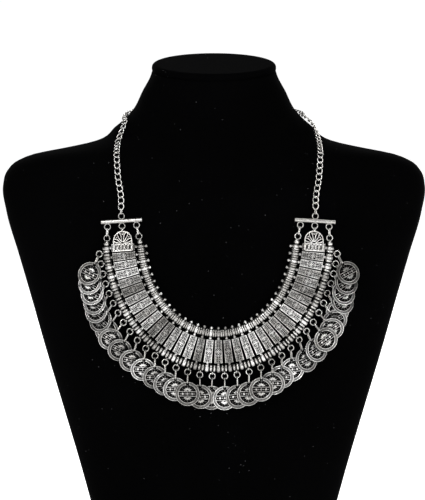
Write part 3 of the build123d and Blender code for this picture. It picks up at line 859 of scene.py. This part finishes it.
def plate_height(x, y):
    """Relief over a plate: border, stem, mirrored scrolls, and a flower in a lozenge."""
    x = x * relief_width / plate_width(y)
    length = plate_head - plate_foot
    from_foot = y - plate_foot
    from_middle = from_foot - 0.5 * length
    from_end = np.minimum(from_foot, length - from_foot)
    inside = np.abs(x) < field_half_width
    spread = np.abs(x) / lozenge_half_width + np.abs(from_middle) / lozenge_half_length
    r, turn = np.hypot(x, from_middle * 0.8), np.arctan2(from_middle * 0.8, x)
    petal = 1.45 * np.sqrt(np.abs(np.cos(2 * turn))) + 0.05
    reliefs = [
        ridge(np.abs(x) - border_offset, 0.3, 0.3),
        ridge(from_end - 0.3, 0.32, 0.3),
        ridge(from_end - bar_offset, 0.22, 0.28) * inside,
        ridge(x, 0.2, 0.26) * (from_end < bar_offset),
        ridge((spread - 0.9) * 1.9, 0.24, 0.27) * inside,
        0.3 * np.clip((petal - r) / 0.3, 0, 1) * (1 - np.exp(-((r / 0.45) ** 4))),
        ridge(r, 0.36, 0.3),
    ]
    for side in (-1, 1):
        for way, offset in ((1, scroll_offsets[0]), (-1, scroll_offsets[1])):
            for along in (from_foot, length - from_foot):
                scroll_x = (x - side * scroll_aside) * side
                reliefs.append(scroll_relief(scroll_x, (along - offset) * way))
        for end in (-1, 1):
            from_corner = np.hypot(x - side * corner_aside, from_middle - end * corner_along)
            reliefs += [ridge(from_corner - 0.5, 0.19, 0.26), ridge(from_corner, 0.22, 0.22)]
    return highest(*reliefs)


def barrel(radius, length, centre_y, sides=18):
    """A short barrel along X at y, bored for the thread."""
    rounding = 0.3 * radius
    half = length / 2
    profile = [(-half, bead_bore_radius), (-half, radius - rounding)]
    for bend in (30, 60, 90):
        angle = math.radians(bend)
        x = -half + rounding * (1 - math.cos(angle))
        profile.append((x, radius - rounding * (1 - math.sin(angle))))
    profile += [(-x, r) for x, r in profile[::-1]]
    vertices = turned(profile, sides)[:, [1, 0, 2]] + [0, centre_y, 0]
    return vertices, tube_faces(len(profile), sides, True)


def stalk(low, high, sides=10):
    """A short round stem along Y."""
    profile = [(y, plate_stalk_radius) for y in np.linspace(low, high, 3)]
    return turned(profile, sides), tube_faces(len(profile), sides, False)


def plate_slab():
    """The flat part of a plate: relief on top, with its heights and edge, and a plain back."""
    rows = np.linspace(plate_foot, plate_head, plate_rows)
    inner_columns = np.linspace(-edge_column, edge_column, plate_columns - 2)
    columns = np.concatenate([[-1.0], inner_columns, [1.0]])
    y, share = np.meshgrid(rows, columns, indexing="ij")
    x = share * plate_width(y) / 2
    height = plate_height(x, y) + chance.normal(0, cast_grain, x.shape)
    height = np.clip(height, 0, relief_height)
    edge = (np.abs(share) > 0.999) | (y < plate_foot + 0.01) | (y > plate_head - 0.01)
    height[edge] = -edge_drop
    top = np.stack([x, y, plate_thickness / 2 + height], axis=-1).reshape(-1, 3)
    faces = grid_faces(plate_rows, plate_columns, False)

    # The sides go down from the top's border, and the back lies between their lower vertices
    index = np.arange(plate_rows * plate_columns).reshape(plate_rows, plate_columns)
    border = np.concatenate([index[0, :-1], index[:-1, -1], index[-1, :0:-1], index[:0:-1, 0]])
    low = top[border].copy()
    low[:, 2] = -plate_thickness / 2
    below = np.zeros(len(top), dtype=int)
    below[border] = len(top) + np.arange(len(border))
    after = np.roll(border, -1)
    faces += zip(after, border, below[border], below[after])
    left, right = below[index[:, 0]], below[index[:, -1]]
    for row in range(1, plate_rows - 2):
        faces.append((left[row], left[row + 1], right[row + 1], right[row]))
    for row, inner_row, flip in ((0, 1, False), (plate_rows - 1, plate_rows - 2, True)):
        ends = below[index[row]]
        fan = [(here, right[inner_row], beyond) for here, beyond in zip(ends, ends[1:])]
        fan.append((ends[0], left[inner_row], right[inner_row]))
        faces += [face[::-1] if flip else face for face in fan]
    relief = np.clip(height.ravel() / (0.85 * relief_height), 0, 1)
    relief[edge.ravel()] = 0.0
    return np.concatenate([top, low]), faces, np.concatenate([relief, np.zeros(len(low))])


def plate_neck():
    """A small block between the flat part and the outer ring."""
    ends = (plate_head - 0.05, plate_reach - 2.0)
    corners = [
        (side * neck_half_width, end, level * neck_half_depth)
        for side in (-1, 1) for end in ends for level in (-1, 1)
    ]
    faces = [(0, 1, 3, 2), (4, 6, 7, 5), (0, 4, 5, 1), (2, 3, 7, 6), (0, 2, 6, 4), (1, 5, 7, 3)]
    return np.array(corners), faces


def make_plate():
    """One plate, its inner ring at the origin, pointing along +Y, with its relief towards +Z."""
    slab_vertices, slab_faces, slab_relief = plate_slab()
    vertices, faces = combine([
        (slab_vertices, slab_faces),
        plate_neck(),
        ball(plate_ball_radius, -plate_ball_offset),
        ball(plate_ball_radius, plate_ball_offset),
        stalk(-plate_ball_offset, -stalk_start),
        stalk(stalk_start, plate_foot + 0.3),
        barrel(plate_inner_ring_radius, plate_inner_ring_length, 0.0),
        barrel(plate_outer_ring_radius, plate_outer_ring_length, plate_reach),
    ])
    relief = np.full(len(vertices), 0.95)
    relief[: len(slab_relief)] = slab_relief
    return vertices, faces, relief


def plate_axes(index):
    """A plate's right and face directions, each rolled a little, as loose plates are."""
    along = unit(outer_points[index] - inner_points[index])
    normal = chest_normal((outer_points[index] + inner_points[index]) / 2)
    across = unit(np.cross(along, normal))
    forward = np.cross(across, along)
    roll = plate_roll * math.sin(2.4 * index)
    rolled = math.cos(roll) * across + math.sin(roll) * forward
    return rolled, np.cross(rolled, along)


def make_plates():
    vertices, faces, relief = make_plate()
    left, right = range(half_count + 1), range(half_count + 1, plate_count)
    for name, indices in (("plates_left", left), ("plates_right", right)):
        placed = [to_place(vertices, inner_points[i], *plate_axes(i)) for i in indices]
        joined = combine([(plate, faces) for plate in placed])
        piece = make_piece(name + "_relief", *joined, plate_silver, name, "antique_silver")
        wear = chance.uniform(size=len(indices))
        add_values(piece, "relief", np.tile(relief, len(indices)))
        add_values(piece, "wear", np.repeat(wear, len(vertices)))
        turn_faces_out(piece)


make_plates()


# Chains: flat curb links, each waved so that the next one passes through its end

link_wire_radius = 0.45
link_half_length = 2.7
link_half_width = 2.0
link_wave = 0.55
link_gap = 0.1
link_height = 3.0
link_sides = 6
link_steps = 24
clasp_overlap = 0.6
path_points = 2000
evening_reach = 130
neck_start_y = -8.0
neck_flare = 0.35


def neck_normal(point):
    """The way out from the bust's level section at a point beside or behind the neck."""
    x, y, z = point
    across, depth = half_width(z), (back_reach if y > 0 else front_depth)(z)
    return unit(np.array([x / across**2, y / depth**2, neck_flare / across]))


def neck_point(share, side):
    """A point on the links' way round the neck, from its side to beside the clasp."""
    level = chain_route[-1][1] + neck_chain_rise
    z = level + neck_chain_rise * share
    across, deep = half_width(z) + link_height, back_reach(z) + link_height
    solid_across = half_width(z) + chain_height
    angle = share * math.acos((clasp_length / 2 + chain_start_gap) / solid_across)
    return np.array([side * across * math.cos(angle), deep * math.sin(angle), z])


def evened(directions):
    """Directions along a path, each the mean of its neighbours on both sides."""
    padded = np.pad(directions, ((evening_reach, evening_reach), (0, 0)), mode="edge")
    sums = np.cumsum(np.pad(padded, ((1, 0), (0, 0))), axis=0)
    return units(sums[2 * evening_reach + 1 :] - sums[: -2 * evening_reach - 1])


def chain_path(side):
    """A fine, even line along the chain's route, and the way out from the bust at each point."""
    centre, _, up, _ = bar_axes(side)
    ring_centre = centre + up * (bar_radius + loop_offset + 2 * ring_radius - link_overlap)
    points = [ring_centre + up * (ring_radius - wire_radius - link_wire_radius - link_gap)]
    for x, z in chain_route:
        points.append(on_chest(x if side < 0 else 2 * bib_x - x, z, link_height))
    for count in range(neck_chain_points + 1):
        points.append(neck_point(count / neck_chain_points, side))
    points = np.array(points)
    places = running_lengths(points)
    line = smooth_between(places, points, np.linspace(0, places[-1], path_points))
    outward = [
        chest_normal(point) if point[1] < neck_start_y else neck_normal(point) for point in line
    ]
    return line, evened(np.array(outward))


def make_link():
    """One flat link along X: rings of wire about an oval that waves up and down."""
    phases = full_turns(link_steps)
    x, y = link_half_length * np.cos(phases), link_half_width * np.sin(phases)
    line = np.stack([x, y, -link_wave * np.sin(2 * phases)], axis=-1)
    tangent = units(np.roll(line, -1, axis=0) - np.roll(line, 1, axis=0))
    inward = units(-line)
    inward = units(inward - tangent * (inward * tangent).sum(axis=1)[:, None])
    third = np.cross(tangent, inward)
    rows = []
    for turn in full_turns(link_sides):
        rows.append(line + link_wire_radius * (math.cos(turn) * inward + math.sin(turn) * third))
    vertices = np.stack(rows, axis=1).reshape(-1, 3)
    return vertices, tube_faces(link_steps, link_sides, True)


def make_chain(side, name):
    line, outward = chain_path(side)
    lengths = running_lengths(line)

    def at(values, place):
        return np.array([np.interp(place, lengths, values[:, axis]) for axis in range(3)])

    pitch = 2 * link_half_length - 2 * link_wire_radius - link_gap
    room = lengths[-1] - 2 * link_half_length
    count = int(round(room / pitch)) + 1
    pitch = (room + clasp_overlap) / (count - 1)
    link_vertices, link_faces = make_link()
    parts = []
    for number in range(count):
        place = link_half_length + number * pitch
        along = unit(at(line, place + 1) - at(line, place - 1))
        facing = at(outward, place)
        facing = unit(facing - along * facing.dot(along))
        parts.append((to_place(link_vertices, at(line, place), along, facing), link_faces))
    make_piece(name + "_links", *combine(parts), chain_silver, name, "bright_silver")


make_chain(-1, "chain_left")
make_chain(1, "chain_right")


# End pieces: openwork arches of flat wire, the top hole's centre at the origin, the foot at -Y

hole_drop = 0.42
frame_half_wire = 0.45
root_drop = 2.6
root_arch_radius = 1.9
palmette_leans = (-63, -21, 21, 63)
palmette_start = 1.8
pellet_leans = (-42, 0, 42)
pellet_radius = 0.5
oval_shares = (-0.36, -0.18, 0.0, 0.18, 0.36)
oval_half_width = 1.1
hole_ring_radius = 1.35


def arc(centre_y, radius, last_degrees, count):
    """Points of an arc about a centre on the Y axis, from the side towards +X."""
    angles = np.radians(np.linspace(0, last_degrees, count))
    return np.stack([radius * np.cos(angles), centre_y + radius * np.sin(angles)], axis=-1)


def flat_wire(line, closed=False, half_wide=0.4, half_deep=0.45, sides=8):
    """A wire of oval section along a flat line."""
    if closed:
        tangent = np.roll(line, -1, axis=0) - np.roll(line, 1, axis=0)
    else:
        tangent = np.gradient(line, axis=0)
    tangent = units(tangent)
    rows = []
    for turn in full_turns(sides):
        x = line[:, 0] - tangent[:, 1] * half_wide * math.cos(turn)
        y = line[:, 1] + tangent[:, 0] * half_wide * math.cos(turn)
        rows.append(np.stack([x, y, np.full(len(line), half_deep * math.sin(turn))], axis=-1))
    vertices = np.stack(rows, axis=1).reshape(-1, 3)
    return vertices, tube_faces(len(line), sides, closed)


def arch_reach(lean, radius):
    """How far the frame's arch is from the root, in a direction that leans from +Y."""
    angle = math.radians(lean)
    aside, along = root_drop * math.sin(angle), root_drop * math.cos(angle)
    return math.sqrt(radius**2 - aside**2) + along


def palmette_loop(root_y, lean, length):
    """A closed drop-shaped loop of wire that springs out from the small arch."""
    angle = math.radians(lean)
    turns = full_turns(22)
    along = palmette_start + length / 2 * (1 - np.cos(turns))
    aside = 1.5 * np.sin(turns) * np.sin(turns / 2)
    x = along * math.sin(angle) + aside * math.cos(angle)
    y = root_y + along * math.cos(angle) - aside * math.sin(angle)
    points = np.stack([x, y], axis=-1)
    return flat_wire(points, closed=True, half_wide=0.36, half_deep=0.4)


def make_filigree():
    """An arched frame around a palmette of leaf loops, over a row of five upright ovals."""
    spring = filigree_hole_edge - filigree_width / 2
    low = filigree_hole_edge - filigree_length + frame_half_wire
    wide = filigree_width / 2 - frame_half_wire
    root = spring - root_drop
    foot = np.stack([np.linspace(-wide, wide, 13)[1:-1], np.full(11, low)], axis=-1)
    outline = [[(wide, low)], arc(spring, wide, 180, 33), [(-wide, low)], foot]
    parts = [flat_wire(np.concatenate(outline), closed=True, half_wide=frame_half_wire)]
    parts.append(flat_wire(arc(root, root_arch_radius, 180, 15), half_wide=0.3))
    for lean in palmette_leans:
        parts.append(palmette_loop(root, lean, arch_reach(lean, wide) - palmette_start))
    for lean in pellet_leans:
        reach, angle = 0.79 * arch_reach(lean, wide), math.radians(lean)
        vertices, faces = ball(pellet_radius, 0.0, rings=6, sides=8)
        place = [reach * math.sin(angle), root + reach * math.cos(angle), 0]
        parts.append((vertices * [1, 1, 0.8] + place, faces))
    bar = np.stack([np.linspace(-wide, wide, 9), np.full(9, root)], axis=-1)
    parts.append(flat_wire(bar, half_wide=0.38))
    turns = full_turns(20)
    for share in oval_shares:
        x = share * filigree_width + oval_half_width * np.sin(turns)
        y = (root + low) / 2 + 0.5 * (root - low - 0.4) * np.cos(turns)
        oval = np.stack([x, y], axis=-1)
        parts.append(flat_wire(oval, closed=True, half_wide=0.32, half_deep=0.4))
    hole_ring = arc(0, hole_ring_radius, 345, 16)
    parts.append(flat_wire(hole_ring, closed=True, half_wide=0.26, half_deep=0.42))
    return combine(parts)


def make_filigrees():
    vertices, faces = make_filigree()
    for side, name in ((-1, "end_filigree_left"), (1, "end_filigree_right")):
        centre, right, up, _ = bar_axes(side)
        drop = bar_radius + loop_offset + ring_radius - link_overlap
        drop += 2 * filigree_ring_radius + hole_drop
        hole = centre - drop * up
        reach = filigree_length - filigree_hole_edge
        foot = step_on_chest(hole, -up[0], -up[2], reach, filigree_foot_height)
        face = unit(np.cross(right, hole - foot))
        placed = to_place(vertices, hole, right, face)
        piece = make_piece(name + "_wires", placed, faces, antique_silver, name, "antique_silver")
        turn_faces_out(piece)


make_filigrees()


# Stage, lights and camera, in metres

floor_radius = 45.0
backdrop_radius = 44.0
bib_place = (0.0, -0.06, 0.2)

# Each light's name, place, width, height and power
studio_lights = [
    ("key", (-0.9, -1.5, 1.25), 0.55, 0.8, 20),
    ("fill", (1.2, -1.4, 0.5), 0.5, 0.9, 9),
    ("front", (0.1, -2.2, 0.35), 0.35, 0.35, 5),
    ("top", (0.2, -0.3, 1.6), 0.7, 0.7, 9),
    ("back_left", (-0.9, 1.4, 1.0), 0.7, 0.7, 12),
    ("back_right", (1.0, 1.3, 0.8), 0.7, 0.7, 10),
]

camera_distance = 2.6
camera_rise = math.radians(5.0)
camera_target = Vector((-0.0011, 0.0, 0.2086))
view_height = 0.37925
sensor_height = 24.0


def stage_material(name, tone, dark, light, **settings):
    """A pale, softly glowing surface with a faint tone from dark to light in it."""
    settings["Emission_Color"] = (1, 1, 1, 1)
    material, tree, shader = start_material(name, **settings)
    colour = ramp(tree, noise(tree, **tone), 0.3, 0.7, grey(dark), grey(light))
    tree.links.new(colour, shader.inputs["Base Color"])
    return material


def add_stage(name, shape, material):
    """A mesh that the object stands on or in front of."""
    mesh = bpy.data.meshes.new(name)
    shape.to_mesh(mesh)
    shape.free()
    mesh.materials.append(material)
    piece = bpy.data.objects.new(name, mesh)
    scene.collection.objects.link(piece)
    return piece


def make_stage():
    pale_floor = stage_material(
        "pale_floor", {"scale": 40, "detail": 4}, 0.86, 0.9,
        Roughness=0.9, Specular_IOR_Level=0.1, Emission_Strength=0.97,
    )
    shape = bmesh.new()
    bmesh.ops.create_circle(shape, cap_ends=True, segments=96, radius=floor_radius)
    add_stage("floor", shape, pale_floor)
    white = stage_material(
        "white_backdrop", {"scale": 0.4}, 0.8, 0.82, Roughness=1.0, Emission_Strength=1.0
    )
    shape = bmesh.new()
    bmesh.ops.create_uvsphere(shape, u_segments=48, v_segments=24, radius=backdrop_radius)
    backdrop = add_stage("backdrop", shape, white)
    for ray in ("visible_diffuse", "visible_glossy", "visible_transmission", "visible_shadow"):
        setattr(backdrop, ray, False)


def aim(thing, place, target):
    """Put a light or camera at a place, looking at a target, and into the scene."""
    place, target = Vector(place), Vector(target)
    thing.location = place
    thing.rotation_euler = (target - place).to_track_quat("-Z", "Y").to_euler()
    scene.collection.objects.link(thing)


def add_light(name, place, width, height, power):
    light = bpy.data.lights.new(name, "AREA")
    light.shape = "RECTANGLE"
    light.size, light.size_y, light.energy = width, height, power
    aim(bpy.data.objects.new(name, light), place, bib_place)


def make_world():
    world = bpy.data.worlds.new("studio")
    world.use_nodes = True
    background = world.node_tree.nodes["Background"]
    background.inputs["Color"].default_value = (1, 1, 1, 1)
    background.inputs["Strength"].default_value = 0.1
    scene.world = world
    scene.view_settings.view_transform = "Standard"
    scene.view_settings.look = "None"


def make_camera():
    lens = bpy.data.cameras.new("camera")
    lens.sensor_fit, lens.sensor_height = "VERTICAL", sensor_height
    lens.lens = sensor_height * camera_distance / view_height
    lens.clip_start, lens.clip_end = 0.01, 200.0
    camera = bpy.data.objects.new("camera", lens)
    back = Vector((0, -math.cos(camera_rise), math.sin(camera_rise)))
    aim(camera, camera_target + camera_distance * back, camera_target)
    scene.camera = camera


make_stage()
make_world()
for studio_light in studio_lights:
    add_light(*studio_light)
make_camera()

bpy.context.view_layer.update()
